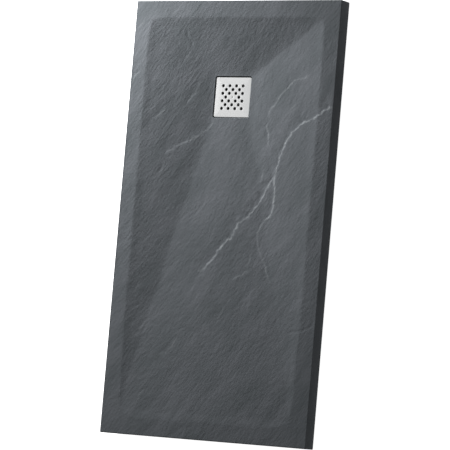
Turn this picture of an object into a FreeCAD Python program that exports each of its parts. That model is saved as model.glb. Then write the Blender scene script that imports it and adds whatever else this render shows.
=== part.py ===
"""A stone-resin shower tray with a square steel drain cover, its waste and its trap.

All sizes are in millimetres. The tray lies flat, as it is used. Its underside is at height 0
and its middle is the origin. X runs across the tray, Y along it towards the drain end, and Z up.
The waste hangs through the tray under the drain cover, and its outlet points along Y.
"""

import FreeCAD, Part
import math
import os

ROUND_SIDES = 12  # small rounds that repeat are twelve-sided, which keeps the mesh light

# ---- The slab -------------------------------------------------------------------------------
TRAY_WIDTH = 700.0
TRAY_LENGTH = 1300.0
TRAY_THICKNESS = 45.0  # at the rim
RIM_WIDTH = 50.0
STEP_WIDTH = 16.0  # the soft step from the rim down to the falls, seen in plan
STEP_DROP = 4.5  # at the two long sides and the drain end
FAR_STEP_DROP = 3.0  # at the end far from the drain
STEP_CREST_RADIUS = 10.0
STEP_FOOT_RADIUS = 60.0
TRAY_CORNER_RADIUS = 3.0
TRAY_EDGE_RADIUS = 2.0
DRAIN_TO_END = 286.5  # from the drain's middle to the near end of the tray

# ---- The well that the cover drops into -----------------------------------------------------
WELL_LIP_DEPTH = 15.0  # the well's lip below the rim
WELL_DEPTH = 10.5  # the well's floor below its lip
WELL_LAND = 3.0  # level band round the well
WELL_LIP_BEVEL = 1.2
WASTE_LAND = 17.0  # floor between the well's sides and the waste hole, which is then 90 wide
SEAT_DEPTH = 8.0  # round seat for the trap, cast into the underside
SEAT_GAP = 6.0  # room round the trap's disc in that seat

# ---- The drain cover ------------------------------------------------------------------------
COVER_SIDE = 120.0
COVER_GAP = 2.0  # all round, between the cover and the well
COVER_SINK = 0.5  # the cover's face below the well's lip
COVER_SHEET = 1.5
COVER_SKIRT = 6.5  # height of the folded edge
COVER_CORNER_RADIUS = 4.5
COVER_FOLD_BEVEL = 1.0
COVER_HOLE_DIAMETER = 9.0
COVER_HOLE_PITCH = 11.25  # rows and columns; every second place has a hole
COVER_HOLE_REACH = 3  # places on each side of the middle
LIFTING_HOLE_DIAMETER = 3.4
FOOT_SIDE = 10.0
FOOT_TOE_SIDE = 8.0
FOOT_INSET = 1.5  # from the inside of the folded edge

# ---- The clamp flange, its seals and screws -------------------------------------------------
CLAMP_MARGIN = 5.0  # between the flange and the sides of the well
CLAMP_THICKNESS = 3.0
THROAT_WALL = 1.5
THROAT_GAP = 1.0  # between the throat and the screws
THROAT_FOOT_GAP = 0.3  # between the throat and the trap's disc
SEAL_INSET = 0.5  # the seals' edges from the edges of what they lie under
FLANGE_SEAL_THICKNESS = 2.0
BODY_SEAL_THICKNESS = 3.0
SCREW_COUNT = 3
SCREW_DIAMETER = 5.0
SCREW_HEAD_DIAMETER = 9.0
SCREW_HEAD_HEIGHT = 2.5
SCREW_HOLE_PLAY = 0.25  # round the shank
SCREW_WALL_GAP = 0.5  # between the screws and the side of the waste hole
SCREW_TIP_ROOM = 0.5  # between the tip and the foot of the brass insert

# ---- The trap's upper moulding --------------------------------------------------------------
HEAD_THICKNESS = 4.0
HEAD_LIP = 7.0  # the disc's edge past the bowl
INSERT_NUT_FLATS = 8.0
INSERT_NUT_LENGTH = 8.0
BOSS_WALL = 2.5  # round a brass insert
BOSS_FLOOR = 2.5  # closed end of a boss
RIB_THICKNESS = 2.0
RIB_DEPTH = 4.0
RIB_INSET = 1.0  # from the disc's bore
WELD_PLAY = 0.2  # between the ribs and the bowl

# ---- The trap's bowl and outlet -------------------------------------------------------------
BOWL_WALL = 3.0
BOSS_TO_BOWL = 1.5
WATER_SEAL = 30.0  # depth of water that the dip tube stands in
DIP_TO_FLOOR = 12.0
WEIR_BELOW_AXIS = 7.0
PIPE_DIAMETER = 40.0  # the waste pipe that a plumber pushes in
PIPE_PLAY = 0.25
PIPE_SOCKET_DEPTH = 25.0
PIPE_STOP = 1.0  # the way into the bowl is narrower by this, which stops the pipe
STOP_LEDGE = 1.0  # of the socket's own wall, between the pipe's end and the bowl
SPIGOT_WALL = 3.25
CONE_SEAT_DEPTH = 6.0
GUSSET_THICKNESS = 3.0
GUSSET_TO_NUT = 1.0

# ---- The parts on the outlet ----------------------------------------------------------------
NUT_UNDER_TRAY = 3.0  # room between the nut and the tray's underside
NUT_PLAY = 0.3
NUT_WALL = 4.2
NUT_SKIRT = 18.0
NUT_FACE = 3.5
NUT_SIDES = 12
CONE_SEAL_PLAY = 0.1  # between the rubber and the pipe or the seat
CONE_SEAL_HEAD = 2.0  # how far the rubber stands out of its seat

# ---- The dip tube, its ring and the hair strainer -------------------------------------------
INSERT_PLAY = 0.6  # between the dip tube's rim and the throat
INSERT_RIM_SEAT = 3.4  # width of the rim's seat on the disc
INSERT_RIM_THICKNESS = 2.5
RING_WIDTH = 3.4
RING_HEIGHT = 3.4
RING_PLAY = 0.1  # between the ring and the disc's bore
DIP_WALL = 2.2
INSERT_NOTCH_WIDTH = 9.0
INSERT_NOTCH_DEPTH = 1.6
STRAINER_THICKNESS = 2.0
STRAINER_SLOT_WIDTH = 4.0
STRAINER_SLOT_COUNT = 12
STRAINER_SLOT_MARGIN = 2.0  # between the slots and the edge of the dip tube's bore
STRAINER_HUB_RADIUS = 9.0  # the slots start here
TAB_WIDTH = 14.0
TAB_THICKNESS = 3.0
TAB_UNDER_COVER = 3.0

# ---- Places worked out from the sizes above -------------------------------------------------
DRAIN_Y = TRAY_LENGTH / 2 - DRAIN_TO_END
LIP_Z = TRAY_THICKNESS - WELL_LIP_DEPTH
WELL_FLOOR_Z = LIP_Z - WELL_DEPTH
COVER_TOP_Z = LIP_Z - COVER_SINK
WELL_SIDE = COVER_SIDE + 2 * COVER_GAP
WASTE_R = WELL_SIDE / 2 - WASTE_LAND

CLAMP_R = WELL_SIDE / 2 - CLAMP_MARGIN
CLAMP_Z = WELL_FLOOR_Z + FLANGE_SEAL_THICKNESS
CLAMP_TOP_Z = CLAMP_Z + CLAMP_THICKNESS
SCREW_R = SCREW_DIAMETER / 2
SCREW_CIRCLE_R = WASTE_R - SCREW_WALL_GAP - SCREW_R
THROAT_OUTER_R = SCREW_CIRCLE_R - SCREW_R - THROAT_GAP
THROAT_R = THROAT_OUTER_R - THROAT_WALL

HEAD_TOP_Z = SEAT_DEPTH - BODY_SEAL_THICKNESS
HEAD_Z = HEAD_TOP_Z - HEAD_THICKNESS
INSERT_NUT_Z = HEAD_TOP_Z - INSERT_NUT_LENGTH
BOSS_FLATS = INSERT_NUT_FLATS + 2 * BOSS_WALL
BOSS_Z = INSERT_NUT_Z - BOSS_FLOOR
BOWL_R = SCREW_CIRCLE_R + BOSS_FLATS / 2 + BOSS_TO_BOWL
BOWL_OUTER_R = BOWL_R + BOWL_WALL
HEAD_R = BOWL_OUTER_R + HEAD_LIP
SEAT_R = HEAD_R + SEAT_GAP

INSERT_RIM_R = THROAT_R - INSERT_PLAY
HEAD_BORE_R = INSERT_RIM_R - INSERT_RIM_SEAT
RING_R = HEAD_BORE_R - RING_PLAY
DIP_OUTER_R = RING_R - RING_WIDTH
DIP_R = DIP_OUTER_R - DIP_WALL
INSERT_TOP_Z = HEAD_TOP_Z + INSERT_RIM_THICKNESS

SOCKET_R = PIPE_DIAMETER / 2 + PIPE_PLAY
PORT_R = SOCKET_R - PIPE_STOP
SPIGOT_R = SOCKET_R + SPIGOT_WALL
NUT_BORE_R = SPIGOT_R + NUT_PLAY
NUT_FLATS = 2 * (NUT_BORE_R + NUT_WALL)
OUTLET_Z = -(NUT_UNDER_TRAY + NUT_FLATS / 2)
STOP = BOWL_OUTER_R + STOP_LEDGE  # from the drain's middle, as the next three
CONE_FOOT = STOP + PIPE_SOCKET_DEPTH
MOUTH = CONE_FOOT + CONE_SEAT_DEPTH
SEAL_END = MOUTH + CONE_SEAL_HEAD
WEIR_Z = OUTLET_Z - WEIR_BELOW_AXIS
DIP_Z = WEIR_Z - WATER_SEAL
BOWL_FLOOR_Z = DIP_Z - DIP_TO_FLOOR

UP = FreeCAD.Vector(0, 0, 1)
ACROSS = FreeCAD.Vector(1, 0, 0)
ALONG = FreeCAD.Vector(0, 1, 0)
ORIGIN = FreeCAD.Vector(0, 0, 0)
DRAIN = FreeCAD.Vector(0, DRAIN_Y, 0)
OUTLET = FreeCAD.Vector(0, DRAIN_Y, OUTLET_Z)
FULL_TURN = 360.0


def turned(corners):
    """A solid turned about the drain's upright axis from its (radius, height) corners."""
    points = [FreeCAD.Vector(radius, 0, height) for radius, height in corners]
    face = Part.Face(Part.makePolygon([*points, points[0]]))
    solid = face.revolve(ORIGIN, UP, FULL_TURN)
    solid.translate(DRAIN)
    return solid


def turned_outlet(corners):
    """A solid turned about the outlet's level axis from its (radius, distance) corners."""
    points = [FreeCAD.Vector(radius, distance, 0) for radius, distance in corners]
    face = Part.Face(Part.makePolygon([*points, points[0]]))
    solid = face.revolve(ORIGIN, ALONG, FULL_TURN)
    solid.translate(OUTLET)
    return solid


def upright_ring(inner, outer, bottom, top):
    """A flat ring or short tube round the drain's axis."""
    return turned([(inner, bottom), (outer, bottom), (outer, top), (inner, top)])


def upright_rod(radius, bottom, top, x=0.0, y=0.0):
    """A round bar standing at x, y from the drain's middle."""
    base = FreeCAD.Vector(x, DRAIN_Y + y, bottom)
    return Part.makeCylinder(radius, top - bottom, base, UP)


def many_sided(sides, flats, length):
    """A bar of many flat sides, given across flats, standing on the origin with one flat at +X."""
    corner = flats / 2 / math.cos(math.pi / sides)
    points = []
    for index in range(sides):
        turn = 2 * math.pi * (index + 0.5) / sides
        points.append(FreeCAD.Vector(corner * math.cos(turn), corner * math.sin(turn), 0))
    face = Part.Face(Part.makePolygon([*points, points[0]]))
    return face.extrude(FreeCAD.Vector(0, 0, length))


def upright_bar(sides, flats, bottom, top, place):
    """A many-sided bar at an (x, y, degrees) place round the drain, one flat facing outwards."""
    x, y, degrees = place
    bar = many_sided(sides, flats, top - bottom)
    bar.rotate(ORIGIN, UP, degrees)
    bar.translate(FreeCAD.Vector(x, DRAIN_Y + y, bottom))
    return bar


def square_block(side, corner, bottom, top):
    """A square block over the drain with rounded upright corners."""
    base = FreeCAD.Vector(-side / 2, DRAIN_Y - side / 2, bottom)
    block = Part.makeBox(side, side, top - bottom, base)
    return block.makeFillet(corner, upright_edges(block))


def upright_edges(solid):
    """The straight edges of a block that run up and down."""
    return [edge for edge in solid.Edges if is_along(edge, UP)]


def is_along(edge, direction):
    """Whether an edge is straight and parallel to a direction."""
    if not isinstance(edge.Curve, Part.Line):
        return False
    return edge.tangentAt(edge.FirstParameter).cross(direction).Length < 1e-6


def edges_at_height(solid, height):
    """The edges that lie level at one height."""
    found = []
    for edge in solid.Edges:
        box = edge.BoundBox
        if abs(box.ZMin - height) < 1e-4 and abs(box.ZMax - height) < 1e-4:
            found.append(edge)
    return found


def round_the_drain(count, radius, start_degrees=90.0):
    """Evenly spaced (x, y, degrees) places on a circle about the drain, from the outlet's side."""
    places = []
    for index in range(count):
        degrees = start_degrees + FULL_TURN * index / count
        turn = math.radians(degrees)
        places.append((radius * math.cos(turn), radius * math.sin(turn), degrees))
    return places


def screw_places():
    """Where the clamp screws stand."""
    return round_the_drain(SCREW_COUNT, SCREW_CIRCLE_R)


# ---- Slab -----------------------------------------------------------------------------------


def step_line(rim_inner, foot, drop, side):
    """The soft step, from its crest on the rim to its foot, as (distance, height) points.

    side is 1 or -1: which way the rim lies. Crest and foot are eased by short bevels.
    """
    slope = drop / abs(rim_inner - foot)
    crest_ease = STEP_CREST_RADIUS * slope / 2
    foot_ease = STEP_FOOT_RADIUS * slope / 2
    foot_z = TRAY_THICKNESS - drop
    return [
        (rim_inner + side * crest_ease, TRAY_THICKNESS),
        (rim_inner - side * crest_ease, TRAY_THICKNESS - slope * crest_ease),
        (foot + side * foot_ease, foot_z + slope * foot_ease),
        (foot - side * foot_ease, foot_z),
    ]


def fall_profile(low, high, drain_middle, low_drop, high_drop):
    """A cut through the slab, edge to edge: rim, step, fall, the level at the well, and back."""
    well = WELL_SIDE / 2 + WELL_LAND
    low_rim = low + RIM_WIDTH
    high_rim = high - RIM_WIDTH
    outline = [(low, 0.0), (low, TRAY_THICKNESS)]
    outline += step_line(low_rim, low_rim + STEP_WIDTH, low_drop, -1)
    outline += [(drain_middle - well, LIP_Z), (drain_middle + well, LIP_Z)]
    outline += reversed(step_line(high_rim, high_rim - STEP_WIDTH, high_drop, 1))
    outline += [(high, TRAY_THICKNESS), (high, 0.0)]
    return outline


def swept_level(outline, direction, length):
    """A profile of (distance, height) points swept level, across or along the tray."""
    if direction is ALONG:
        points = [FreeCAD.Vector(x, -length / 2, z) for x, z in outline]
        travel = FreeCAD.Vector(0, length, 0)
    else:
        points = [FreeCAD.Vector(-length / 2, y, z) for y, z in outline]
        travel = FreeCAD.Vector(length, 0, 0)
    face = Part.Face(Part.makePolygon([*points, points[0]]))
    return face.extrude(travel)


def tray_slab():
    """The casting. Its basin is as high as the higher of two crossing falls at every point."""
    half_width = TRAY_WIDTH / 2
    half_length = TRAY_LENGTH / 2
    across = fall_profile(-half_width, half_width, 0.0, STEP_DROP, STEP_DROP)
    along = fall_profile(-half_length, half_length, DRAIN_Y, FAR_STEP_DROP, STEP_DROP)
    side_falls = swept_level(across, ALONG, TRAY_LENGTH)
    end_falls = swept_level(along, UP, TRAY_WIDTH)
    slab = side_falls.fuse(end_falls).removeSplitter()
    slab = rounded_outside(slab)
    well = square_block(WELL_SIDE, COVER_CORNER_RADIUS + COVER_GAP, WELL_FLOOR_Z, TRAY_THICKNESS)
    slab = slab.cut(well)
    slab = slab.makeChamfer(WELL_LIP_BEVEL, well_lip(slab))
    slab = slab.cut(upright_rod(WASTE_R, 0.0, TRAY_THICKNESS))
    return slab.cut(upright_rod(SEAT_R, 0.0, SEAT_DEPTH))


def rounded_outside(slab):
    """The slab with its four corners and its upper outside edge rounded."""
    half_width = TRAY_WIDTH / 2
    corners = [edge for edge in upright_edges(slab) if abs(edge.BoundBox.XMin) > half_width - 1e-3]
    slab = slab.makeFillet(TRAY_CORNER_RADIUS, corners)
    outside = []
    for edge in edges_at_height(slab, TRAY_THICKNESS):
        middle = edge.CenterOfMass
        past_sides = abs(middle.x) > half_width - TRAY_CORNER_RADIUS
        past_ends = abs(middle.y) > TRAY_LENGTH / 2 - TRAY_CORNER_RADIUS
        if past_sides or past_ends:
            outside.append(edge)
    return slab.makeFillet(TRAY_EDGE_RADIUS, outside)


def well_lip(slab):
    """The edges where the well opens into the basin."""
    reach = WELL_SIDE / 2 + 1e-3
    lip = []
    for edge in edges_at_height(slab, LIP_Z):
        box = edge.BoundBox
        inside_x = max(abs(box.XMin), abs(box.XMax)) < reach
        inside_y = max(abs(box.YMin - DRAIN_Y), abs(box.YMax - DRAIN_Y)) < reach
        if inside_x and inside_y:
            lip.append(edge)
    return lip


# ---- Cover ----------------------------------------------------------------------------------


def drain_cover():
    """The pressed cover: a sheet folded down on four sides, with holes at every second place."""
    skirt_z = COVER_TOP_Z - COVER_SHEET - COVER_SKIRT
    outer = square_block(COVER_SIDE, COVER_CORNER_RADIUS, skirt_z, COVER_TOP_Z)
    outer = outer.makeChamfer(COVER_FOLD_BEVEL, edges_at_height(outer, COVER_TOP_Z))
    inner_side = COVER_SIDE - 2 * COVER_SHEET
    inner_corner = COVER_CORNER_RADIUS - COVER_SHEET
    inner = square_block(inner_side, inner_corner, skirt_z, COVER_TOP_Z - COVER_SHEET)
    holes = [upright_rod(LIFTING_HOLE_DIAMETER / 2, skirt_z, COVER_TOP_Z)]
    for row in range(-COVER_HOLE_REACH, COVER_HOLE_REACH + 1):
        for column in range(-COVER_HOLE_REACH, COVER_HOLE_REACH + 1):
            in_the_middle = row == 0 and column == 0
            if (row + column) % 2 == 0 and not in_the_middle:
                place = (column * COVER_HOLE_PITCH, row * COVER_HOLE_PITCH, 0.0)
                holes.append(cover_hole(skirt_z, place))
    return outer.cut(inner).cut(Part.makeCompound(holes))


def cover_hole(bottom, place):
    """The cutter for one of the many holes."""
    return upright_bar(ROUND_SIDES, COVER_HOLE_DIAMETER, bottom, COVER_TOP_Z, place)


def cover_feet():
    """Four tapered rubber feet, glued in the cover's corners, that stand on the well's floor."""
    reach = COVER_SIDE / 2 - COVER_SHEET - FOOT_INSET - FOOT_SIDE / 2
    feet = []
    for x in (-reach, reach):
        for y in (-reach, reach):
            foot = tapered_foot(COVER_TOP_Z - COVER_SHEET - WELL_FLOOR_Z)
            foot.translate(FreeCAD.Vector(x, DRAIN_Y + y, WELL_FLOOR_Z))
            feet.append(foot)
    return Part.makeCompound(feet)


def tapered_foot(height):
    """One square foot, standing on the origin on its smaller end."""
    toe = FOOT_TOE_SIDE / 2
    top = FOOT_SIDE / 2
    foot = Part.makeWedge(-toe, 0, -toe, -top, -top, toe, height, toe, top, top)
    foot.rotate(ORIGIN, ACROSS, FULL_TURN / 4)
    return foot


# ---- Clamp flange, seals and screws ---------------------------------------------------------


def clamp_flange():
    """The ring that clamps the tray, with the throat that the dip tube is dropped through."""
    throat_foot = HEAD_TOP_Z + THROAT_FOOT_GAP
    ring = turned(
        [
            (THROAT_R, throat_foot),
            (THROAT_OUTER_R, throat_foot),
            (THROAT_OUTER_R, CLAMP_Z),
            (CLAMP_R, CLAMP_Z),
            (CLAMP_R, CLAMP_TOP_Z),
            (THROAT_R, CLAMP_TOP_Z),
        ]
    )
    hole = SCREW_DIAMETER + 2 * SCREW_HOLE_PLAY
    for place in screw_places():
        ring = ring.cut(upright_bar(ROUND_SIDES, hole, CLAMP_Z, CLAMP_TOP_Z, place))
    return ring


def flange_screws():
    """The screws, whose heads press on the flange and whose shanks end in the brass inserts."""
    tip = INSERT_NUT_Z + SCREW_TIP_ROOM
    head_top = CLAMP_TOP_Z + SCREW_HEAD_HEIGHT
    screws = []
    for place in screw_places():
        shank = upright_bar(ROUND_SIDES, SCREW_DIAMETER, tip, CLAMP_TOP_Z, place)
        head = upright_bar(ROUND_SIDES, SCREW_HEAD_DIAMETER, CLAMP_TOP_Z, head_top, place)
        screws.append(shank.fuse(head))
    return Part.makeCompound(screws)


def flange_seal():
    """The flat seal between the flange and the floor of the well."""
    return upright_ring(WASTE_R + SEAL_INSET, CLAMP_R - SEAL_INSET, WELL_FLOOR_Z, CLAMP_Z)


def body_seal():
    """The flat seal between the trap's disc and its seat under the tray."""
    return upright_ring(WASTE_R + SEAL_INSET, HEAD_R - SEAL_INSET, HEAD_TOP_Z, SEAT_DEPTH)


# ---- Trap -----------------------------------------------------------------------------------


def trap_head():
    """The upper moulding: a disc with a bore for the dip tube, and bosses and ribs under it."""
    head = upright_ring(HEAD_BORE_R, HEAD_R, HEAD_Z, HEAD_TOP_Z)
    pieces = [head_rib(degrees) for degrees in rib_directions()]
    for place in screw_places():
        pieces.append(upright_bar(6, BOSS_FLATS, BOSS_Z, HEAD_Z, place))
    head = head.multiFuse(pieces).removeSplitter()
    for place in screw_places():
        head = head.cut(upright_bar(6, INSERT_NUT_FLATS, INSERT_NUT_Z, HEAD_TOP_Z, place))
    return head


def rib_directions():
    """Two ribs between each boss and the next."""
    every = round_the_drain(3 * SCREW_COUNT, SCREW_CIRCLE_R)
    return [degrees for index, (_, _, degrees) in enumerate(every) if index % 3 != 0]


def head_rib(degrees):
    """One rib under the disc, from its bore out to the bowl."""
    start = HEAD_BORE_R + RIB_INSET
    length = BOWL_R - WELD_PLAY - start
    base = FreeCAD.Vector(start, -RIB_THICKNESS / 2, HEAD_Z - RIB_DEPTH)
    rib = Part.makeBox(length, RIB_THICKNESS, RIB_DEPTH, base)
    rib.rotate(ORIGIN, UP, degrees)
    rib.translate(DRAIN)
    return rib


def screw_inserts():
    """The hexagonal brass inserts moulded into the bosses, flush with the disc."""
    inserts = []
    for place in screw_places():
        insert = upright_bar(6, INSERT_NUT_FLATS, INSERT_NUT_Z, HEAD_TOP_Z, place)
        thread = upright_bar(ROUND_SIDES, SCREW_DIAMETER, INSERT_NUT_Z, HEAD_TOP_Z, place)
        inserts.append(insert.cut(thread))
    return Part.makeCompound(inserts)


def trap_bowl():
    """The lower moulding: the bowl, with a way out high in its side."""
    shell = upright_rod(BOWL_OUTER_R, BOWL_FLOOR_Z - BOWL_WALL, HEAD_Z)
    return shell.cut(upright_rod(BOWL_R, BOWL_FLOOR_Z, HEAD_Z)).cut(weir_port())


def weir_port():
    """The way through the bowl's side. Below the weir the side stands: it holds the water back."""
    base = FreeCAD.Vector(-SPIGOT_R, DRAIN_Y, WEIR_Z)
    above = Part.makeBox(2 * SPIGOT_R, BOWL_OUTER_R, 2 * SPIGOT_R, base)
    return outlet_rod(PORT_R, 0.0, BOWL_OUTER_R).common(above)


def outlet_rod(radius, start, end):
    """A round bar on the outlet's axis, between two distances from the drain's middle."""
    return turned_outlet([(0.0, start), (radius, start), (radius, end), (0.0, end)])


def outlet_socket():
    """The socket for the pipe. Its inner end is a saddle, welded to the outside of the bowl."""
    socket = outlet_rod(SPIGOT_R, 0.0, MOUTH).fuse(outlet_gusset()).removeSplitter()
    socket = socket.cut(upright_rod(BOWL_OUTER_R, BOWL_FLOOR_Z - BOWL_WALL, HEAD_Z))
    return socket.cut(outlet_bore())


def outlet_bore():
    """The way from the bowl, the pipe's socket and, at its mouth, the cone for the rubber seal."""
    cone_mouth_r = SOCKET_R + CONE_SEAT_DEPTH * cone_slope()
    return turned_outlet(
        [
            (0.0, 0.0),
            (PORT_R, 0.0),
            (PORT_R, STOP),
            (SOCKET_R, STOP),
            (SOCKET_R, CONE_FOOT),
            (cone_mouth_r, MOUTH),
            (0.0, MOUTH),
        ]
    )


def cone_slope():
    """The seal's cone widens this much for its depth, and leaves a third of the wall at the mouth."""
    return SPIGOT_WALL * 2 / 3 / CONE_SEAT_DEPTH


def outlet_gusset():
    """The upright web that carries the outlet on the bowl, below it."""
    top = OUTLET_Z - SOCKET_R
    far = MOUTH - NUT_SKIRT - GUSSET_TO_NUT
    corners = [(BOWL_R, BOWL_FLOOR_Z), (BOWL_OUTER_R, BOWL_FLOOR_Z), (far, top), (BOWL_R, top)]
    points = [FreeCAD.Vector(-GUSSET_THICKNESS / 2, DRAIN_Y + y, z) for y, z in corners]
    face = Part.Face(Part.makePolygon([*points, points[0]]))
    return face.extrude(FreeCAD.Vector(GUSSET_THICKNESS, 0, 0))


# ---- What makes the outlet tight ------------------------------------------------------------


def cone_seal():
    """The tapered rubber ring that the nut squeezes onto the waste pipe."""
    inner = PIPE_DIAMETER / 2 + CONE_SEAL_PLAY
    nose = MOUTH - CONE_SEAT_DEPTH / 2
    nose_r = SOCKET_R + (nose - CONE_FOOT) * cone_slope() - CONE_SEAL_PLAY
    end_r = nose_r + (SEAL_END - nose) * cone_slope()
    return turned_outlet([(inner, nose), (nose_r, nose), (end_r, SEAL_END), (inner, SEAL_END)])


def outlet_nut():
    """The twelve-sided union nut, screwed over the spigot. One flat lies under the tray."""
    back = MOUTH - NUT_SKIRT
    end = SEAL_END + NUT_FACE
    nut = many_sided(NUT_SIDES, NUT_FLATS, end - back)
    nut.rotate(ORIGIN, ACROSS, -FULL_TURN / 4)
    nut.translate(OUTLET + FreeCAD.Vector(0, back, 0))
    pipe_r = SOCKET_R + PIPE_PLAY
    bore = [(0.0, back), (NUT_BORE_R, back), (NUT_BORE_R, SEAL_END)]
    bore += [(pipe_r, SEAL_END), (pipe_r, end), (0.0, end)]
    return nut.cut(turned_outlet(bore))


# ---- What lifts out -------------------------------------------------------------------------


def trap_insert():
    """The dip tube. Its rim rests on the trap's disc and its foot stands in the water."""
    tube = turned(
        [
            (DIP_R, DIP_Z),
            (DIP_OUTER_R, DIP_Z),
            (DIP_OUTER_R, HEAD_TOP_Z),
            (INSERT_RIM_R, HEAD_TOP_Z),
            (INSERT_RIM_R, INSERT_TOP_Z),
            (DIP_R, INSERT_TOP_Z),
        ]
    )
    for side in (-1, 1):
        tube = tube.cut(finger_notch(side))
    return tube


def finger_notch(side):
    """One of two notches in the rim, where a fingertip pulls the dip tube up."""
    inner = INSERT_RIM_R - INSERT_NOTCH_DEPTH
    start = inner if side > 0 else -INSERT_RIM_R
    base = FreeCAD.Vector(start, DRAIN_Y - INSERT_NOTCH_WIDTH / 2, HEAD_TOP_Z)
    return Part.makeBox(INSERT_NOTCH_DEPTH, INSERT_NOTCH_WIDTH, INSERT_RIM_THICKNESS, base)


def insert_ring():
    """The rubber ring pushed up the dip tube to its rim. It fills the bore of the trap's disc."""
    return upright_ring(DIP_OUTER_R, RING_R, HEAD_TOP_Z - RING_HEIGHT, HEAD_TOP_Z)


def hair_strainer():
    """The slotted disc that catches hair. It lies on the dip tube and has a tab to lift it by."""
    top = INSERT_TOP_Z + STRAINER_THICKNESS
    disc = upright_rod(INSERT_RIM_R, INSERT_TOP_Z, top)
    tab_top = COVER_TOP_Z - COVER_SHEET - TAB_UNDER_COVER
    base = FreeCAD.Vector(-TAB_WIDTH / 2, DRAIN_Y - TAB_THICKNESS / 2, INSERT_TOP_Z)
    tab = Part.makeBox(TAB_WIDTH, TAB_THICKNESS, tab_top - INSERT_TOP_Z, base)
    slots = [strainer_slot(degrees) for _, _, degrees in round_the_drain(STRAINER_SLOT_COUNT, DIP_R)]
    return disc.fuse(tab).cut(Part.makeCompound(slots))


def strainer_slot(degrees):
    """The cutter for one slot, from the hub out to just inside the dip tube's bore."""
    length = DIP_R - STRAINER_SLOT_MARGIN - STRAINER_HUB_RADIUS
    base = FreeCAD.Vector(STRAINER_HUB_RADIUS, -STRAINER_SLOT_WIDTH / 2, INSERT_TOP_Z)
    slot = Part.makeBox(length, STRAINER_SLOT_WIDTH, STRAINER_THICKNESS, base)
    slot.rotate(ORIGIN, UP, degrees)
    slot.translate(DRAIN)
    return slot


NODES = [
    tray_slab,
    drain_cover,
    cover_feet,
    clamp_flange,
    flange_screws,
    flange_seal,
    body_seal,
    trap_head,
    screw_inserts,
    trap_bowl,
    outlet_socket,
    cone_seal,
    outlet_nut,
    trap_insert,
    insert_ring,
    hair_strainer,
]


def main():
    """Builds every piece and writes each to its own file, named after it."""
    os.makedirs("parts", exist_ok=True)
    for make in NODES:
        shape = make()
        name = make.__name__
        solids = len(shape.Solids)
        print(f"{name}: {solids} solid(s), {shape.Volume / 1000:.2f} cm3, valid {shape.isValid()}")
        shape.exportStep(f"parts/{name}.step")


main()
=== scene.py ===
# %% [markdown]
# # A slate-effect shower tray
# The real object is a slab cast from stone-filled resin, with a steel drain cover and a plastic
# waste and trap under it. The construction model gives every piece its size and place, and loads
# here as a fixed frame. This lesson gives each piece its finished surface, one cell at a time.

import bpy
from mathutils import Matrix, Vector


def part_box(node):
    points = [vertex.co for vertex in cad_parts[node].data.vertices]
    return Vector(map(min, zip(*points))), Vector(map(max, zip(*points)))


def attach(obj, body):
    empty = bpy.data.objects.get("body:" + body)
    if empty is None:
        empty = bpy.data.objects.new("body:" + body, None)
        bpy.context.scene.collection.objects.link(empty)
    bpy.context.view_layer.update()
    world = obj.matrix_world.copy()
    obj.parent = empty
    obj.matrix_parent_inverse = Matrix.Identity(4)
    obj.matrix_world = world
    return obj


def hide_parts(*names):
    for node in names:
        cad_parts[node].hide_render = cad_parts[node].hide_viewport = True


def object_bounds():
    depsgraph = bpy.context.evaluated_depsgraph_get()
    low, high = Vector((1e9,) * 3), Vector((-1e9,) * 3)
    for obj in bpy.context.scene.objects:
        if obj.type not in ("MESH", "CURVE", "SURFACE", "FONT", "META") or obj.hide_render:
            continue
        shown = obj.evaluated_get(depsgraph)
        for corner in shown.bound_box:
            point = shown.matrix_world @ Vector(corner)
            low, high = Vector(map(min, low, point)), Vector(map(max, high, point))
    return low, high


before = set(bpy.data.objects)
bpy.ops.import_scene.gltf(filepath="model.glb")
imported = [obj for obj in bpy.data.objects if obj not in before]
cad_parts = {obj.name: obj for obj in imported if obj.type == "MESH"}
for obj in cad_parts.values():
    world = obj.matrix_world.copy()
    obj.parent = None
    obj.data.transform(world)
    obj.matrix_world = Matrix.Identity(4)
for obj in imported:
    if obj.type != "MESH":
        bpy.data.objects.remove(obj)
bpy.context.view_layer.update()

# %% [markdown]
# Blender works in metres and the pieces are sized in millimetres, so one constant turns one into
# the other. The drain's middle is read from the frame, because every round part is centred on it.

# %% Units and places
import math

import bmesh
import bpy
import numpy as np
from mathutils import Matrix, Vector, noise

MM = 0.001
slab_low, slab_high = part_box("tray_slab")
cover_low, cover_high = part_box("drain_cover")
DRAIN = (cover_low + cover_high) / 2
DRAIN.z = 0.0
print("drain at", [round(value / MM, 1) for value in DRAIN], "mm")

# %% [markdown]
# The camera stands where the photographer's did: high over the right-hand long side, with a long
# lens, and rolled until the tray's length runs up the picture. A long lens keeps the sides almost
# parallel, as they are in a catalogue picture.

# %% Camera
camera_data = bpy.data.cameras.new("camera")
camera_data.sensor_width = 36.0
camera_data.lens = 237.12
camera = bpy.data.objects.new("camera", camera_data)
camera.location = (4.44054, -0.67324, 7.49003)
camera.rotation_euler = [math.radians(angle) for angle in (7.17865, 30.20513, 5.60457)]
bpy.context.scene.collection.objects.link(camera)
bpy.context.scene.camera = camera
bpy.context.scene.view_settings.view_transform = "Standard"
print("camera is", round(camera.location.length, 2), "m from the tray's middle")

# %% [markdown]
# Colours are given as sRGB hex values, but shaders reckon in linear light. One function
# turns one into the other. A second one adds a node with its settings and its links, which keeps
# each material's recipe short.

# %% Colour and node helpers


def linear(hex_colour):
    """The linear colour of an sRGB hex value, as red, green, blue and alpha."""
    channels = [int(hex_colour[start:start + 2], 16) / 255 for start in (1, 3, 5)]
    curve = [c / 12.92 if c <= 0.04045 else ((c + 0.055) / 1.055) ** 2.4 for c in channels]
    return (*curve, 1.0)


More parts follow.
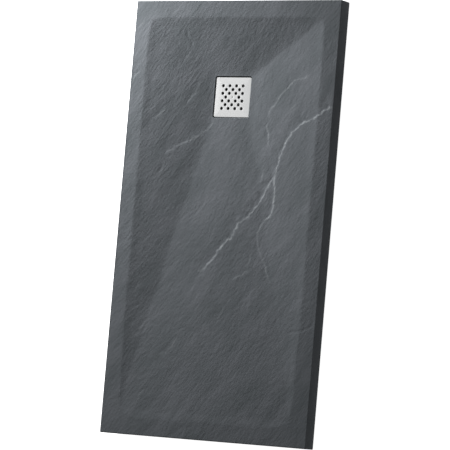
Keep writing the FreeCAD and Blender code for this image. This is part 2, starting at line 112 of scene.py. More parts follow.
def add(tree, kind, inputs=None, **settings):
    """Adds a node. inputs maps a socket's name or number to a value, or to a socket to link."""
    node = tree.nodes.new(kind)
    for name, value in settings.items():
        setattr(node, name, value)
    for name, value in (inputs or {}).items():
        if isinstance(value, bpy.types.NodeSocket):
            tree.links.new(value, node.inputs[name])
        else:
            node.inputs[name].default_value = value
    return node


def empty_material(name):
    """A material and its node tree, with nothing in it yet."""
    material = bpy.data.materials.new(name)
    material.use_nodes = True
    material.node_tree.nodes.clear()
    return material, material.node_tree


def new_material(name):
    """A material, its node tree, and the shader that its surface ends in."""
    material, tree = empty_material(name)
    shader = add(tree, "ShaderNodeBsdfPrincipled")
    add(tree, "ShaderNodeOutputMaterial", {"Surface": shader.outputs[0]})
    return material, tree, shader


def grain_scale(size_mm):
    """A noise texture's scale for grains of a real size."""
    return 1 / (size_mm * MM)


print("mid grey is", round(linear("#808080")[0], 3), "in linear light")

# %% [markdown]
# ## The slab
# The real slab is cast face down in a rubber mould taken from split slate. So its top has a flat
# rim, a soft edge, four falls that run to the drain, and over all of that the relief of the stone.
# It could be sculpted, or displaced in the material. Here a fine grid is lowered point by point
# instead, because then the relief is real: it casts shadows, and it is there in the mesh.
#
# First come the falls. A cut across the tray and a cut along it each have a rim, a soft edge and a
# fall, and the basin is as high as the higher of the two.

# %% The falls
RIM = 50.0
EDGE_WIDTH = 30.0  # of the soft edge inside the rim
EDGE_DROP = 0.3
LIP = 30.0
LEVEL_HALF = 65.0  # from the drain's middle to where the falls start
VALLEY = 0.3  # how much the valley between two falls is filled, at the well
VALLEY_GROWTH = 0.05  # and how much more for each mm above the well's lip
half_width = slab_high.x / MM
half_length = slab_high.y / MM
rim_top = slab_high.z / MM
drain_y = DRAIN.y / MM


def fall(distance, run):
    """Height at a distance in from the slab's edge, where the level part starts after run."""
    edge = np.clip((distance - RIM) / EDGE_WIDTH, 0.0, 1.0)
    eased = edge * edge * (3.0 - 2.0 * edge)
    slope = np.clip((distance - RIM) / (run - RIM), 0.0, 1.0)
    return rim_top - EDGE_DROP * eased - (rim_top - LIP - EDGE_DROP) * slope


def basin_height(x, y):
    """The smooth height of the top, in mm, without the stone's relief."""
    across = fall(half_width - np.abs(x), half_width - LEVEL_HALF)
    near_run = half_length - drain_y - LEVEL_HALF
    far_run = half_length + drain_y - LEVEL_HALF
    near_end = fall(half_length - y, near_run)
    far_end = fall(half_length + y, far_run)
    along = np.where(y > drain_y, near_end, far_end)
    higher = np.maximum(across, along)
    lower = np.minimum(across, along)
    soft = VALLEY + VALLEY_GROWTH * (higher - LIP)
    return higher + soft * np.exp(-(higher - lower) / (3.0 * soft))


print("rim at", rim_top, "mm, lip of the well at", LIP, "mm")

# %% [markdown]
# Split slate is made of thin layers. Its face is a stack of terraces with low, ragged edges, which
# lie along the grain, and a few long scarps where a thick layer broke off. The terraces come from
# a smooth noise that is cut into levels. The scarps follow routes, each a short list of points,
# and the noise bends them so that they look broken and not drawn. Cracks are routes too, but they
# are cut down into the stone, so they read dark.

# %% The routes of the scarps
GRAIN = math.radians(54)
# Each scarp has a height, how far its ledge reaches, and its route, in mm from the tray's middle.
SCARPS = [
    (1.2, 40, [(348, 340), (320, 322), (290, 300), (262, 290), (240, 278), (222, 264),
               (208, 248), (198, 228), (188, 205), (180, 175), (172, 150), (170, 125),
               (175, 90), (174, 60), (172, 38), (165, 16), (150, 2)]),
    (0.55, 26, [(158, 12), (136, -12), (127, -36), (129, -58), (136, -82), (152, -112),
                (170, -150), (188, -190)]),
    (1.0, 32, [(170, 132), (158, 112), (146, 95), (132, 64), (116, 42), (100, 24), (82, 4),
               (64, -8), (56, -24), (46, -42), (28, -66), (12, -80), (0, -90), (-8, -106),
               (-22, -122), (-46, -146), (-64, -158)]),
    (0.6, 26, [(262, 426), (236, 420), (208, 408), (186, 390), (170, 370), (155, 350),
               (136, 322), (128, 300)]),
    (0.55, 18, [(126, 290), (132, 262), (138, 238), (141, 214)]),
    (0.35, 18, [(132, 148), (124, 128), (118, 104)]),
    (0.4, 20, [(116, -88), (112, -112), (106, -138), (92, -158), (68, -172), (48, -182)]),
    (0.55, 28, [(-52, 292), (-84, 262), (-112, 243), (-140, 230), (-162, 220), (-190, 206),
                (-222, 192)]),
    (0.35, 22, [(-112, 404), (-126, 380), (-140, 356), (-154, 336)]),
    (0.5, 20, [(-218, 334), (-236, 312), (-252, 298), (-268, 284)]),
    (0.45, 18, [(-150, 498), (-166, 482), (-178, 470)]),
    (0.35, 18, [(206, 168), (196, 158)]),
    (0.55, 18, [(-318, 438), (-334, 420), (-348, 398)]),
    (0.55, 18, [(-318, 592), (-334, 572), (-348, 556)]),
    (0.35, 20, [(-112, -352), (-128, -382), (-150, -404), (-172, -412)]),
    (0.35, 18, [(-196, 92), (-186, 80)]),
    (0.25, 20, [(60, -230), (36, -262), (20, -290)]),
    (0.25, 20, [(-226, -300), (-240, -330), (-252, -372)]),
    (0.25, 18, [(-214, -506), (-228, -540), (-236, -566)]),
    (0.35, 18, [(212, 560), (198, 540), (186, 528)]),
    (0.3, 18, [(236, 356), (214, 330), (196, 316)]),
]
# Each crack has a depth and its route.
CRACKS = [
    (0.35, [(350, -280), (330, -302), (310, -315), (265, -322)]),
    (0.4, [(-150, 515), (-170, 560)]),
    (0.35, [(-235, 125), (-215, 155)]),
]


def route_distance(x, y, route):
    """How far every point is from a route, its side (1 is left), and how far off an end it is."""
    best = np.full(x.shape, 1e9)
    side = np.zeros(x.shape)
    travelled = np.zeros(x.shape)
    length = 0.0
    for (ax, ay), (bx, by) in zip(route, route[1:]):
        run_x, run_y = bx - ax, by - ay
        run = math.hypot(run_x, run_y)
        share = ((x - ax) * run_x + (y - ay) * run_y) / run ** 2
        share = np.clip(share, 0.0, 1.0)
        off_x = x - ax - share * run_x
        off_y = y - ay - share * run_y
        distance = np.hypot(off_x, off_y)
        nearer = distance < best
        best = np.where(nearer, distance, best)
        side = np.where(nearer, np.sign(run_x * off_y - run_y * off_x), side)
        travelled = np.where(nearer, length + share * run, travelled)
        length += run
    return best, side, np.minimum(travelled, length - travelled)


print(len(SCARPS), "scarps and", len(CRACKS), "cracks")

# %% [markdown]
# The relief adds up four kinds of form: a wide swell, the terraces of the layers, the small flakes
# on them, and the routes. All of them come from the same smooth noise at other sizes. The crests
# of the scarps are kept apart, because they are painted paler there: partly as wear, and partly as
# a painted highlight for the light that the crests catch.

# %% The relief of the stone
SCARP_SCALE = 0.64
SCARP_TAPER = 14.0  # a scarp fades out this far from its ends
LEDGE_WIDTH = 3.4  # of the ragged drop beside a crest
CREST_LIFT, CREST_REACH = 0.2, 2.6  # how far a crest stands up, as a share, and how wide it is
WEAR_AND_HIGHLIGHT_SHARE, WEAR_AND_HIGHLIGHT_REACH = 1.4, 1.5  # how much paler a crest is painted, as wear and as a painted highlight, and how wide
CRACK_REACH = 2.8


def noise_field(x, y, size, octaves, seed, stretch=1.0):
    """Smooth noise for every point, about -1 to 1, with patches of a size in mm.

    A stretch above 1 draws the patches out along the stone's grain.
    """
    along = (x * math.cos(GRAIN) + y * math.sin(GRAIN)) / (size * stretch)
    across = (y * math.cos(GRAIN) - x * math.sin(GRAIN)) / size
    return np.array([noise.fractal(Vector((u, v, seed)), 0.9, 2.0, octaves)
                     for u, v in zip(along, across)])


def terraces(field, levels, edge):
    """The field cut into flat levels, with edges that take up a share of each level."""
    scaled = (field * 0.5 + 0.5) * levels
    whole = np.floor(scaled)
    rise = np.clip((scaled - whole - 1.0 + edge) / edge, 0.0, 1.0)
    return (whole + rise * rise * (3.0 - 2.0 * rise)) / levels


def ridge(distance, reach):
    """1 on a line, falling off smoothly to both sides of it."""
    return np.exp(-((distance / reach) ** 2))


def stone_relief(x, y):
    """How far the stone's face lies under the smooth falls, in mm, and its pale crests: wear and
    painted highlight.
    """
    # Each field has its patches' size in mm, its octaves, its seed and its stretch.
    bend_x = noise_field(x, y, 34.0, 3, 3.1)
    bend_y = noise_field(x, y, 34.0, 3, 7.7)
    shake = noise_field(x, y, 9.0, 2, 21.3)
    wide = noise_field(x, y, 150.0, 3, 11.0, 1.8)
    layers = terraces(noise_field(x, y, 85.0, 4, 5.0, 2.6), 14, 0.3)
    flakes = terraces(noise_field(x, y, 30.0, 4, 17.0, 2.2), 7, 0.4)
    # The shares are in mm. What stands up is negative, because depth counts downwards.
    depth = 0.1 * wide - 0.34 * (layers - 0.5) - 0.22 * (flakes - 0.5) - 0.06 * shake
    wear_and_highlight = np.zeros(x.shape)
    # The points are bent and not the routes, which comes to the same and takes one step for all.
    bent_x = x + 5.0 * bend_x + 2.6 * shake
    bent_y = y + 5.0 * bend_y - 2.6 * shake
    broken = np.clip(0.9 + 0.8 * noise_field(x, y, 26.0, 3, 33.0), 0.35, 1.25)
    for height, reach, route in SCARPS:
        distance, side, to_end = route_distance(bent_x, bent_y, route)
        drop = SCARP_SCALE * height * broken * np.clip(to_end / SCARP_TAPER, 0.0, 1.0)
        below = np.clip(0.5 - side * distance / LEDGE_WIDTH, 0.0, 1.0)
        depth += drop * (np.exp(-distance / reach) * below
                         - CREST_LIFT * ridge(distance, CREST_REACH))
        # Each crest is painted paler: partly wear, and partly a painted highlight for the light it
        # catches.
        wear_and_highlight += WEAR_AND_HIGHLIGHT_SHARE * drop * ridge(distance, WEAR_AND_HIGHLIGHT_REACH)
    for cut_depth, route in CRACKS:
        distance = route_distance(bent_x, bent_y, route)[0]
        depth += cut_depth * ridge(distance, CRACK_REACH)
    return depth, np.clip(wear_and_highlight, 0.0, 1.0)


print("the grain lies at", round(math.degrees(GRAIN)), "degrees")

# %% [markdown]
# The grid becomes the slab: its outline is pulled down to make the sides, the underside is closed
# with one face, and a bevel rounds the four corners and the outer edge as the mould does. The well
# for the cover, the waste hole and the trap's seat are cut out after that, with plain cutters.

# %% The slab's mesh
CELLS_ACROSS, CELLS_ALONG = 206, 382
SHARP_ANGLE = math.radians(35)  # edges sharper than this stay sharp in the shading
HEADROOM = 0.2  # keeps nearly all of the relief below the rim's full height
EDGE_CALM, LEAST_AT_EDGE = 8.0, 0.35  # the relief fades this near the slab's edge, to this share
WELL_CALM, LEAST_AT_WELL = 12.0, 0.15  # and so it does round the well
CORNER_ROUND, BRINK_ROUND = 3.0, 0.8


def as_object(bm, name):
    """A new object at the origin from a bmesh, which is used up."""
    mesh = bpy.data.meshes.new(name)
    bm.to_mesh(mesh)
    bm.free()
    made = bpy.data.objects.new(name, mesh)
    bpy.context.scene.collection.objects.link(made)
    return made


def finish_mesh(bm, name):
    """A new object from a closed bmesh, facing outwards, and smooth but for its sharp edges."""
    bmesh.ops.recalc_face_normals(bm, faces=bm.faces)
    made = as_object(bm, name)
    made.data.shade_smooth()
    made.data.set_sharp_from_angle(angle=SHARP_ANGLE)
    return made


def round_off(bm, edges, offset, segments=2):
    """Bevels edges round, as a mould's corners are."""
    bmesh.ops.bevel(bm, geom=edges, offset=offset * MM, offset_type="OFFSET", segments=segments,
                    profile=0.5, affect="EDGES", material=-1, clamp_overlap=True)


def is_upright(edge):
    """Whether an edge stands straight up."""
    first, last = edge.verts
    return (first.co - last.co).xy.length < 1e-6


def at_block_corner(edge):
    """Whether an edge touches one of the four corners of the block's outline."""
    place = edge.verts[0].co
    off_corner = max(abs(abs(place.x) - half_width * MM), abs(abs(place.y) - half_length * MM))
    return off_corner < 1e-6


def is_brink(edge):
    """Whether an edge lies where the block's top turns down into its sides."""
    on_top = all(vertex.co.z > LIP * MM for vertex in edge.verts)
    return on_top and edge.calc_face_angle(0.0) > math.radians(57)


def slab_block():
    """The slab as a closed block whose top is a fine grid with the stone's relief."""
    bm = bmesh.new()
    bmesh.ops.create_grid(bm, x_segments=CELLS_ACROSS, y_segments=CELLS_ALONG, size=0.5)
    bmesh.ops.scale(bm, vec=(2 * half_width * MM, 2 * half_length * MM, 1.0), verts=bm.verts)
    x, y = (np.array([vertex.co[:2] for vertex in bm.verts]) / MM).T
    depth, wear_and_highlight = stone_relief(x, y)
    to_edge = np.minimum(half_width - np.abs(x), half_length - np.abs(y))
    to_well = np.maximum(np.abs(x), np.abs(y - drain_y)) - LEVEL_HALF
    calm = (np.clip(to_edge / EDGE_CALM, LEAST_AT_EDGE, 1.0)
            * np.clip(to_well / WELL_CALM, LEAST_AT_WELL, 1.0))
    heights = np.minimum(basin_height(x, y) - HEADROOM - depth * calm, rim_top)
    # The crest layer carries the crests' paler paint: wear, and a painted highlight.
    layer = bm.verts.layers.float.new("crest")
    for vertex, height, share in zip(bm.verts, heights, wear_and_highlight * calm):
        vertex.co.z = height * MM
        vertex[layer] = share
    rim_edges = [edge for edge in bm.edges if edge.is_boundary]
    pulled = bmesh.ops.extrude_edge_only(bm, edges=rim_edges)["geom"]
    for item in pulled:
        if isinstance(item, bmesh.types.BMVert):
            item.co.z = 0.0
    low_edges = [edge for edge in bm.edges if edge.is_boundary]
    bmesh.ops.edgeloop_fill(bm, edges=low_edges)
    corners = [edge for edge in bm.edges if is_upright(edge) and at_block_corner(edge)]
    round_off(bm, corners, CORNER_ROUND, segments=4)
    bmesh.ops.recalc_face_normals(bm, faces=bm.faces)
    round_off(bm, [edge for edge in bm.edges if is_brink(edge)], BRINK_ROUND)
    return bm


block = finish_mesh(slab_block(), "slate_tray")
print("block:", len(block.data.polygons), "faces")

# %% [markdown]
# The cutters are simple blocks. One Boolean modifier for each takes the well, the waste hole and
# the seat out of the slab. The result is applied at once, so that what comes later sees a plain
# mesh. The well's cutter flares at its top, which rounds the lip as a mould does.

# %% Cutting the well and the waste hole
WELL_SIDE = 124.0
WELL_CORNER = 6.5
WELL_FLOOR = 19.5
WASTE_RADIUS = 45.0
SEAT_RADIUS = 66.0
SEAT_DEPTH = 8.0
OVERSHOOT = 5.0  # cutters stick out this far, so that no two faces meet level


def rounded_square(bm, side, corner, height):
    """The points of a level square with rounded corners over the drain, in order round it."""
    arc_steps = 6
    points = []
    reach = side / 2 - corner
    for quarter, (sign_x, sign_y) in enumerate([(1, 1), (-1, 1), (-1, -1), (1, -1)]):
        for step in range(arc_steps + 1):
            turn = math.radians(90 * (quarter + step / arc_steps))
            x = sign_x * reach + corner * math.cos(turn)
            y = sign_y * reach + corner * math.sin(turn)
            points.append(bm.verts.new(DRAIN + Vector((x, y, height)) * MM))
    return points


def loop_edges(bm, points):
    """Joins points into a closed loop and returns its edges."""
    return [bm.edges.new(pair) for pair in zip(points, points[1:] + points[:1])]


def well_cutter():
    """A block the shape of the well, flared where it opens into the basin."""
    bm = bmesh.new()
    flare = [(0.0, WELL_FLOOR), (0.0, LIP - 0.9), (0.12, LIP - 0.5), (0.4, LIP - 0.25),
             (0.9, LIP - 0.1), (1.2, rim_top + OVERSHOOT)]
    loops = []
    for grown, height in flare:
        ring = rounded_square(bm, WELL_SIDE + 2 * grown, WELL_CORNER + grown, height)
        loops.append(loop_edges(bm, ring))
    for lower, upper in zip(loops, loops[1:]):
        bmesh.ops.bridge_loops(bm, edges=lower + upper)
    bmesh.ops.edgeloop_fill(bm, edges=loops[0])
    bmesh.ops.edgeloop_fill(bm, edges=loops[-1])
    return finish_mesh(bm, "well_cutter")


def round_cutter(radius, bottom, top, name):
    """A round cutter on the drain's axis."""
    bm = bmesh.new()
    middle = Matrix.Translation(DRAIN + Vector((0, 0, (bottom + top) / 2)) * MM)
    bmesh.ops.create_cone(bm, cap_ends=True, segments=96, radius1=radius * MM, radius2=radius * MM,
                          depth=(top - bottom) * MM, matrix=middle)
    return finish_mesh(bm, name)


def combine(target, tools, operation="DIFFERENCE"):
    """Cuts the tools out of the target's mesh for good, or joins them on, and removes them."""
    for tool in tools:
        modifier = target.modifiers.new(tool.name, "BOOLEAN")
        modifier.object = tool
        modifier.operation = operation
        modifier.solver = "MANIFOLD"
    depsgraph = bpy.context.evaluated_depsgraph_get()
    result = bpy.data.meshes.new_from_object(target.evaluated_get(depsgraph))
    target.modifiers.clear()
    old = target.data
    target.data = result
    bpy.data.meshes.remove(old)
    result.set_sharp_from_angle(angle=SHARP_ANGLE)
    for tool in tools:
        bpy.data.objects.remove(tool)


combine(block, [
    well_cutter(),
    round_cutter(WASTE_RADIUS, -OVERSHOOT, WELL_FLOOR + OVERSHOOT, "waste_cutter"),
    round_cutter(SEAT_RADIUS, -OVERSHOOT, SEAT_DEPTH, "seat_cutter"),
])
block.data.name = "slate_tray"
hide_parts("tray_slab")
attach(block, "tray")
print("slab:", sum(len(face.vertices) - 2 for face in block.data.polygons), "triangles")

# %% [markdown]
# The finish is a matt gelcoat that is coloured right through, sprayed thin on the relief. It is
# dark grey with a little blue, and darker where the pigment gathers. Along the crests it is
# painted
# paler: partly wear where hands and brushes rub them, and partly a painted highlight for the light
# that the crests catch. A fine grit, too small for the grid, is left to a bump pattern.

# %% Slate gelcoat


def slate_gelcoat():
    """Sprayed matt gelcoat on cast stone resin: dark grey, dull, with a fine sandy grain."""
    material, tree, shader = new_material("slate_gelcoat")
    place = add(tree, "ShaderNodeTexCoord").outputs["Object"]
    # A mapping of the texture kind stretches along its own turned axes, here along the grain.
    along_grain = add(tree, "ShaderNodeMapping",
                      {"Vector": place, "Rotation": (0.0, 0.0, GRAIN), "Scale": (2.6, 1.0, 1.0)},
                      vector_type="TEXTURE").outputs[0]
    cloud = add(tree, "ShaderNodeTexNoise", {"Vector": along_grain, "Scale": grain_scale(55.0),
                                             "Detail": 6.0, "Roughness": 0.6})
    flake = add(tree, "ShaderNodeTexNoise", {"Vector": along_grain, "Scale": grain_scale(7.0),
                                             "Detail": 5.0, "Roughness": 0.65})
    grit = add(tree, "ShaderNodeTexNoise", {"Vector": place, "Scale": grain_scale(1.6),
                                            "Detail": 2.0, "Roughness": 0.6})
    tint = add(tree, "ShaderNodeValToRGB", {"Fac": cloud.outputs[0]})
    tint.color_ramp.elements[0].position = 0.35
    tint.color_ramp.elements[0].color = linear("#515558")
    tint.color_ramp.elements[1].position = 0.68
    tint.color_ramp.elements[1].color = linear("#5d6064")
    # The crests are mixed towards a pale grey: partly wear, and partly a painted highlight.
    wear_and_highlight = add(tree, "ShaderNodeAttribute", attribute_name="crest")
    share = add(tree, "ShaderNodeMath", {0: wear_and_highlight.outputs["Fac"], 1: 0.5}, operation="MULTIPLY")
    colour = add(tree, "ShaderNodeMix", {"Factor": share.outputs[0], 6: tint.outputs[0],
                                         7: linear("#8d9193")}, data_type="RGBA")
    rough = add(tree, "ShaderNodeMapRange", {"Value": flake.outputs[0], "To Min": 0.55,
                                             "To Max": 0.72})
    coarse = add(tree, "ShaderNodeBump", {"Height": flake.outputs[0], "Strength": 0.9,
                                          "Distance": 0.65 * MM})
    fine = add(tree, "ShaderNodeBump", {"Height": grit.outputs[0], "Strength": 0.5,
                                        "Distance": 0.08 * MM, "Normal": coarse.outputs[0]})
    links = {"Base Color": colour.outputs[2], "Roughness": rough.outputs[0],
             "Normal": fine.outputs[0]}
    for socket, source in links.items():
        tree.links.new(source, shader.inputs[socket])
    shader.inputs["IOR"].default_value = 1.5
    shader.inputs["Specular IOR Level"].default_value = 0.1
    return material


block.data.materials.clear()
block.data.materials.append(slate_gelcoat())
print("the slab is", block.data.materials[0].name)

# %% [markdown]
# ## The drain cover
# The real cover is pressed from 1.5 mm stainless sheet: 24 round holes and one lifting hole are
# punched, and the edge is folded down. A box with holes cut in it would have sharp, thick edges.
# Here the sheet is drawn as a surface: the outline and the holes are loops that one fill joins.
# It is then pressed up a little in the middle, its edge is folded loop by loop, and two modifiers
# give it the sheet's thickness and a fine edge.

# %% The pressed sheet
COVER_SIDE = 120.0
COVER_CORNER = 4.5
COVER_TOP = 29.5
SKIRT_FOOT = 21.5
FOLD_RADIUS = 2.2
SHEET = 1.5
CROWN = 1.1  # how far the cover's middle stands above its edge
HOLE_RADIUS = 4.9
LIFT_HOLE_RADIUS = 2.0
HOLE_PITCH = 11.25
BEND_STEP = 5.2  # the sheet is scored this often each way, so that it can be pressed up
BEND_REACH = 11  # scores on each side of the middle
FOLD_ANGLES = (30, 60, 90)


def hole_places():
    """The punched holes' columns and rows: every second place of a 7 by 7 grid but the middle."""
    steps = range(-3, 4)
    return [(column, row) for column in steps for row in steps
            if (column + row) % 2 == 0 and (column, row) != (0, 0)]


def press_up(vertex):
    """Raises a point of the sheet, so that the cover sheds water to its edges."""
    flat = COVER_SIDE / 2 - FOLD_RADIUS
    share_x = min(1.0, abs(vertex.co.x - DRAIN.x) / (flat * MM))
    share_y = min(1.0, abs(vertex.co.y - DRAIN.y) / (flat * MM))
    vertex.co.z = (COVER_TOP - CROWN * max(share_x, share_y) ** 3) * MM


def on_outline(edge):
    """Whether an edge lies on the sheet's outside and not round a hole."""
    reach = (COVER_SIDE / 2 - COVER_CORNER - 1.0) * MM
    return all(max(abs(vertex.co.x - DRAIN.x), abs(vertex.co.y - DRAIN.y)) > reach
               for vertex in edge.verts)


def cover_sheet():
    """The sheet with its holes, pressed up in the middle, and the edges of its outline."""
    bm = bmesh.new()
    rim = rounded_square(bm, COVER_SIDE - 2 * FOLD_RADIUS, COVER_CORNER - FOLD_RADIUS, COVER_TOP)
    loop_edges(bm, rim)
    for column, row in [*hole_places(), (0, 0)]:
        radius = HOLE_RADIUS if (column, row) != (0, 0) else LIFT_HOLE_RADIUS
        place = DRAIN + Vector((column * HOLE_PITCH, row * HOLE_PITCH, COVER_TOP)) * MM
        bmesh.ops.create_circle(bm, cap_ends=False, segments=36, radius=radius * MM,
                                matrix=Matrix.Translation(place))
    bmesh.ops.triangle_fill(bm, use_beauty=True, use_dissolve=False, edges=bm.edges)
    for step in range(-BEND_REACH, BEND_REACH + 1):
        for normal in (Vector((1, 0, 0)), Vector((0, 1, 0))):
            score = DRAIN + normal * step * BEND_STEP * MM
            bmesh.ops.bisect_plane(bm, geom=[*bm.verts, *bm.edges, *bm.faces], dist=1e-7,
                                   plane_co=score, plane_no=normal)
    outline = [edge for edge in bm.edges if edge.is_boundary and on_outline(edge)]
    for vertex in bm.verts:
        press_up(vertex)
    return bm, outline


def pushed_out(place, step):
    """A point of the outline, moved outwards by a step in mm."""
    core = (COVER_SIDE / 2 - COVER_CORNER) * MM
    away = Vector((place.x - DRAIN.x, place.y - DRAIN.y))
    nearest = Vector((max(-core, min(core, away.x)), max(-core, min(core, away.y))))
    moved = away + (away - nearest).normalized() * step * MM
    return DRAIN.x + moved.x, DRAIN.y + moved.y


def fold_down(bm, outline):
    """Folds the sheet's edge down: each ring is pushed out and down from the last."""
    places = [(FOLD_RADIUS * math.sin(turn), FOLD_RADIUS * (1 - math.cos(turn)))
              for turn in (math.radians(angle) for angle in FOLD_ANGLES)]
    places.append((FOLD_RADIUS, COVER_TOP - CROWN - SKIRT_FOOT))
    done_out, done_down = 0.0, 0.0
    for out, down in places:
        made = bmesh.ops.extrude_edge_only(bm, edges=outline)["geom"]
        outline = [item for item in made
                   if isinstance(item, bmesh.types.BMEdge) and item.is_boundary]
        for vertex in (item for item in made if isinstance(item, bmesh.types.BMVert)):
            vertex.co.x, vertex.co.y = pushed_out(vertex.co, out - done_out)
            vertex.co.z -= (down - done_down) * MM
        done_out, done_down = out, down


bm, outline = cover_sheet()
fold_down(bm, outline)
bmesh.ops.recalc_face_normals(bm, faces=bm.faces)
if sum(face.normal.z for face in bm.faces) < 0:
    bmesh.ops.reverse_faces(bm, faces=bm.faces)
cover = as_object(bm, "pressed_cover")
cover.data.shade_smooth()
wall = cover.modifiers.new("sheet", "SOLIDIFY")
wall.thickness = SHEET * MM
wall.offset = -1.0
edge_round = cover.modifiers.new("edge", "BEVEL")
edge_round.width = 0.25 * MM
edge_round.segments = 2
edge_round.limit_method = "ANGLE"
edge_round.angle_limit = math.radians(50)
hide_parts("drain_cover")
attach(cover, "cover")
print("cover:", len(cover.data.polygons), "faces and", len(hole_places()), "holes")

# %% [markdown]
# Satin stainless is ground with a belt, so it has fine straight lines that blur its reflections
# along one way. A picture of brushed metal would do that too. Two stretched noises do it here: one
# for the lines, in the bump, and one for the faint streaks, in the roughness.

# %% Satin stainless


def satin_stainless():
    """Stainless sheet, belt-ground to a satin: pale metal with soft, drawn-out reflections."""
    material, tree, shader = new_material("satin_stainless")
    place = add(tree, "ShaderNodeTexCoord").outputs["Object"]
    drawn = add(tree, "ShaderNodeMapping", {"Vector": place, "Scale": (60.0, 1.0, 1.0)},
                vector_type="TEXTURE").outputs[0]
    lines = add(tree, "ShaderNodeTexNoise", {"Vector": drawn, "Scale": grain_scale(0.5),
                                             "Detail": 3.0})
    streaks = add(tree, "ShaderNodeTexNoise", {"Vector": drawn, "Scale": grain_scale(3.0),
                                               "Detail": 2.0})
    rough = add(tree, "ShaderNodeMapRange", {"Value": streaks.outputs[0], "To Min": 0.3,
                                             "To Max": 0.4})
    bump = add(tree, "ShaderNodeBump", {"Height": lines.outputs[0], "Strength": 0.25,
                                        "Distance": 0.02 * MM})
    tree.links.new(rough.outputs[0], shader.inputs["Roughness"])
    tree.links.new(bump.outputs[0], shader.inputs["Normal"])
    shader.inputs["Base Color"].default_value = linear("#c6c7c7")
    shader.inputs["Metallic"].default_value = 1.0
    return material


satin = satin_stainless()
cover.data.materials.append(satin)
print("the cover is", satin.name)

# %% [markdown]
# ## Turned and moulded pieces
# Nearly every piece of the waste is round, and its mould was turned on a lathe. So the lesson does
# the same: it spins a cross-section about an axis, and then rounds every sharp ring, because a
# moulding never has a knife edge. Each piece is then put in its place, and one call hides the node
# that it stands for and gives the piece its body and its finish.

# %% Turning, placing and dressing
OUTLET_HEIGHT = -31.0
TO_DRAIN = Matrix.Translation(DRAIN)
TO_OUTLET = Matrix.Translation(DRAIN + Vector((0, 0, OUTLET_HEIGHT)) * MM) @ Matrix.Rotation(
    math.radians(-90), 4, "X")


def round_edges(bm, offset, sharp_degrees=30):
    """Bevels every edge that is sharper than an angle."""
    sharp = [edge for edge in bm.edges if edge.calc_face_angle(0.0) > math.radians(sharp_degrees)]
    round_off(bm, sharp, offset)


def turned(section, round_by, steps=96):
    """Spins (radius, height) corners, in mm, about the Z axis, and rounds the sharp rings."""
    bm = bmesh.new()
    corners = [bm.verts.new((radius * MM, 0.0, height * MM)) for radius, height in section]
    if section[0][0] > 0:
        edges = loop_edges(bm, corners)
    else:
        edges = [bm.edges.new(pair) for pair in zip(corners, corners[1:])]
    bmesh.ops.spin(bm, geom=corners + edges, cent=(0, 0, 0), axis=(0, 0, 1), dvec=(0, 0, 0),
                   angle=math.tau, steps=steps, use_merge=True, use_duplicate=False)
    bmesh.ops.remove_doubles(bm, verts=bm.verts, dist=1e-6)
    bmesh.ops.recalc_face_normals(bm, faces=bm.faces)
    round_edges(bm, round_by)
    return bm


def block_of(size, middle, top_share=1.0):
    """A block from its size and middle in mm. Its top is drawn in to a share of its foot."""
    bm = bmesh.new()
    bmesh.ops.create_cube(bm, size=1.0)
    upper = [vertex for vertex in bm.verts if vertex.co.z > 0]
    bmesh.ops.scale(bm, vec=(top_share, top_share, 1.0), verts=upper)
    bmesh.ops.scale(bm, vec=Vector(size) * MM, verts=bm.verts)
    bmesh.ops.translate(bm, vec=Vector(middle) * MM, verts=bm.verts)
    return bm


def repeat_round(bm, turns):
    """Copies all of a bmesh to each turn about the Z axis, in degrees, and drops the first."""
    first_verts = [*bm.verts]
    first = [*bm.verts, *bm.edges, *bm.faces]
    for turn in turns:
        copy = bmesh.ops.duplicate(bm, geom=first)["geom"]
        verts = [item for item in copy if isinstance(item, bmesh.types.BMVert)]
        turning = Matrix.Rotation(math.radians(turn), 3, "Z")
        bmesh.ops.rotate(bm, cent=(0, 0, 0), matrix=turning, verts=verts)
    bmesh.ops.delete(bm, geom=first_verts, context="VERTS")


def placed(bm, name, where):
    """The finished object of a bmesh, moved to its place."""
    bmesh.ops.transform(bm, matrix=where, verts=bm.verts)
    return finish_mesh(bm, name)


def dress(piece, node, body, material):
    """Puts a piece in the place of its node, on its body, in its finish."""
    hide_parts(node)
    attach(piece, body)
    piece.data.materials.clear()
    piece.data.materials.append(material)
    print(piece.name, "stands for", node, "with", len(piece.data.polygons), "faces")


def finish_node(node, material):
    """Gives a construction piece, whose shape is right as it is, its finish."""
    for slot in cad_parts[node].material_slots:
        slot.material = material
    print(node, "keeps its shape, in", material.name)


print("outlet axis at", OUTLET_HEIGHT, "mm")

# %% [markdown]
# The waste is moulded plastic and rubber. A moulding copies the mould's skin: a faint orange peel
# with a soft sheen, and slight clouds of pigment. Rubber is duller, and a little dusty. Both are
# one recipe with other numbers.

# %% Plastics and rubber


def moulded(name, dark, pale, roughness, peel_mm):
    """A moulded surface: two close shades in clouds, a soft sheen and a fine orange peel."""
    material, tree, shader = new_material(name)
    place = add(tree, "ShaderNodeTexCoord").outputs["Object"]
    clouds = add(tree, "ShaderNodeTexNoise", {"Vector": place, "Scale": grain_scale(14.0),
                                              "Detail": 3.0})
    peel = add(tree, "ShaderNodeTexNoise", {"Vector": place, "Scale": grain_scale(peel_mm),
                                            "Detail": 2.0})
    shade = add(tree, "ShaderNodeMix", {"Factor": clouds.outputs[0], 6: linear(dark),
                                        7: linear(pale)}, data_type="RGBA")
    rough = add(tree, "ShaderNodeMapRange", {"Value": clouds.outputs[0],
                                             "To Min": roughness - 0.06,
                                             "To Max": roughness + 0.06})
    bump = add(tree, "ShaderNodeBump", {"Height": peel.outputs[0], "Strength": 0.3,
                                        "Distance": 0.05 * MM})
    links = {"Base Color": shade.outputs[2], "Roughness": rough.outputs[0],
             "Normal": bump.outputs[0]}
    for socket, source in links.items():
        tree.links.new(source, shader.inputs[socket])
    return material


